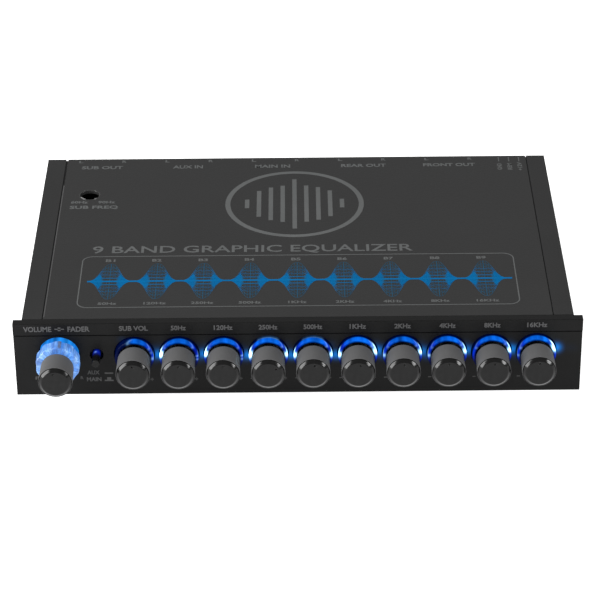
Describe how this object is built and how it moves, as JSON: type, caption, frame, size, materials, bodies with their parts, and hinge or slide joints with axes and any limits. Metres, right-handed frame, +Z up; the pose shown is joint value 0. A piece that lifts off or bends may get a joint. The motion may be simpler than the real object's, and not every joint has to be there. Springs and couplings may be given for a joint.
{
  "type": "graphic equalizer",
  "caption": "Low black in-dash audio equalizer: a long fascia with a row of lit rotary knobs, a volume and fader control, a source button, and line sockets behind.",
  "frame": {"origin": "on the surface the case stands on, under the middle of the whole object's length, width and depth", "axes": "+X to the right of someone facing the knobs, +Y from the fascia to the rear sockets, +Z up"},
  "size_m": [0.178, 0.138, 0.0262],
  "materials": {
    "case_paint": "black powder coat",
    "cover_paint": "charcoal powder coat",
    "fascia_plastic": "fine-grained black moulding",
    "light_guide": "clear moulding lit blue from behind",
    "fader_clear": "clear moulding lit pale blue",
    "board_laminate": "solder mask",
    "knob_grey": "soft-touch grey",
    "cap_gloss": "polished black",
    "pot_case": "moulded black",
    "shaft_steel": "bright steel",
    "screw_steel": "black oxide",
    "button_plastic": "smoked plastic lit blue",
    "trimmer_white": "white moulding",
    "socket_black": "black moulding",
    "terminal_green": "green moulding",
    "capacitor_sleeve": "shrink sleeve",
    "copper": "enamelled copper winding"
  },
  "bodies": {
    "case": {"chassis_tray": "case_paint", "top_cover": "cover_paint", "rear_panel": "case_paint", "front_fascia": "fascia_plastic", "light_guide": "light_guide", "main_board": "board_laminate", "control_board": "board_laminate", "volume_fader_pot": "pot_case", "source_switch": "pot_case", "trimmer_case": "pot_case", "power_terminal": "terminal_green", "filter_capacitor": "capacitor_sleeve", "converter_choke": "copper", "supply_regulator": "pot_case", "sub_pot": "pot_case", "band_1_pot": "pot_case", "band_2_pot": "pot_case", "band_3_pot": "pot_case", "band_4_pot": "pot_case", "band_5_pot": "pot_case", "band_6_pot": "pot_case", "band_7_pot": "pot_case", "band_8_pot": "pot_case", "band_9_pot": "pot_case", "line_socket_1": "socket_black", "line_socket_2": "socket_black", "line_socket_3": "socket_black", "line_socket_4": "socket_black", "line_socket_5": "socket_black", "panel_screw_1": "screw_steel", "panel_screw_2": "screw_steel", "panel_screw_3": "screw_steel", "panel_screw_4": "screw_steel"},
    "sub_control": {"sub_knob": "knob_grey", "sub_cap": "cap_gloss"},
    "band_1_control": {"band_1_knob": "knob_grey", "band_1_cap": "cap_gloss"},
    "band_2_control": {"band_2_knob": "knob_grey", "band_2_cap": "cap_gloss"},
    "band_3_control": {"band_3_knob": "knob_grey", "band_3_cap": "cap_gloss"},
    "band_4_control": {"band_4_knob": "knob_grey", "band_4_cap": "cap_gloss"},
    "band_5_control": {"band_5_knob": "knob_grey", "band_5_cap": "cap_gloss"},
    "band_6_control": {"band_6_knob": "knob_grey", "band_6_cap": "cap_gloss"},
    "band_7_control": {"band_7_knob": "knob_grey", "band_7_cap": "cap_gloss"},
    "band_8_control": {"band_8_knob": "knob_grey", "band_8_cap": "cap_gloss"},
    "band_9_control": {"band_9_knob": "knob_grey", "band_9_cap": "cap_gloss"},
    "volume_control": {"volume_knob": "knob_grey", "volume_cap": "cap_gloss", "volume_shaft": "shaft_steel"},
    "fader_control": {"fader_ring": "fader_clear", "fader_sleeve": "shaft_steel"},
    "source_control": {"source_button": "button_plastic"},
    "crossover_control": {"trimmer_rotor": "trimmer_white"}
  },
  "joints": [
    {"name": "sub_turn", "type": "hinge", "parent": "case", "child": "sub_control", "pos_m": [-0.0513, -0.0642, 0.0146], "axis": [0, 1, 0], "range_deg": [-150, 150]},
    {"name": "band_1_turn", "type": "hinge", "parent": "case", "child": "band_1_control", "pos_m": [-0.0373, -0.0642, 0.0146], "axis": [0, 1, 0], "range_deg": [-144, 136]},
    {"name": "band_2_turn", "type": "hinge", "parent": "case", "child": "band_2_control", "pos_m": [-0.0233, -0.0642, 0.0146], "axis": [0, 1, 0], "range_deg": [-142, 138]},
    {"name": "band_3_turn", "type": "hinge", "parent": "case", "child": "band_3_control", "pos_m": [-0.0093, -0.0642, 0.0146], "axis": [0, 1, 0], "range_deg": [-190, 90]},
    {"name": "band_4_turn", "type": "hinge", "parent": "case", "child": "band_4_control", "pos_m": [0.0047, -0.0642, 0.0146], "axis": [0, 1, 0], "range_deg": [-148, 132]},
    {"name": "band_5_turn", "type": "hinge", "parent": "case", "child": "band_5_control", "pos_m": [0.0187, -0.0642, 0.0146], "axis": [0, 1, 0], "range_deg": [-152, 128]},
    {"name": "band_6_turn", "type": "hinge", "parent": "case", "child": "band_6_control", "pos_m": [0.0327, -0.0642, 0.0146], "axis": [0, 1, 0], "range_deg": [-144, 136]},
    {"name": "band_7_turn", "type": "hinge", "parent": "case", "child": "band_7_control", "pos_m": [0.0467, -0.0642, 0.0146], "axis": [0, 1, 0], "range_deg": [-140, 140]},
    {"name": "band_8_turn", "type": "hinge", "parent": "case", "child": "band_8_control", "pos_m": [0.0607, -0.0642, 0.0146], "axis": [0, 1, 0], "range_deg": [-143, 137]},
    {"name": "band_9_turn", "type": "hinge", "parent": "case", "child": "band_9_control", "pos_m": [0.0747, -0.0642, 0.0146], "axis": [0, 1, 0], "range_deg": [-140, 140]},
    {"name": "volume_turn", "type": "hinge", "parent": "case", "child": "volume_control", "pos_m": [-0.075, -0.0681, 0.0146], "axis": [0, 1, 0], "range_deg": [-150, 150]},
    {"name": "fader_turn", "type": "hinge", "parent": "case", "child": "fader_control", "pos_m": [-0.075, -0.059, 0.0146], "axis": [0, 1, 0], "range_deg": [-140, 140]},
    {"name": "source_push", "type": "slide", "parent": "case", "child": "source_control", "axis": [0, 1, 0], "range_m": [0, 0.0016], "stiffness_N_per_m": 150, "springref_m": -0.002},
    {"name": "crossover_turn", "type": "hinge", "parent": "case", "child": "crossover_control", "pos_m": [-0.0702, 0.0328, 0.0225], "axis": [0, 0, -1], "range_deg": [-130, 130]}
  ]
}
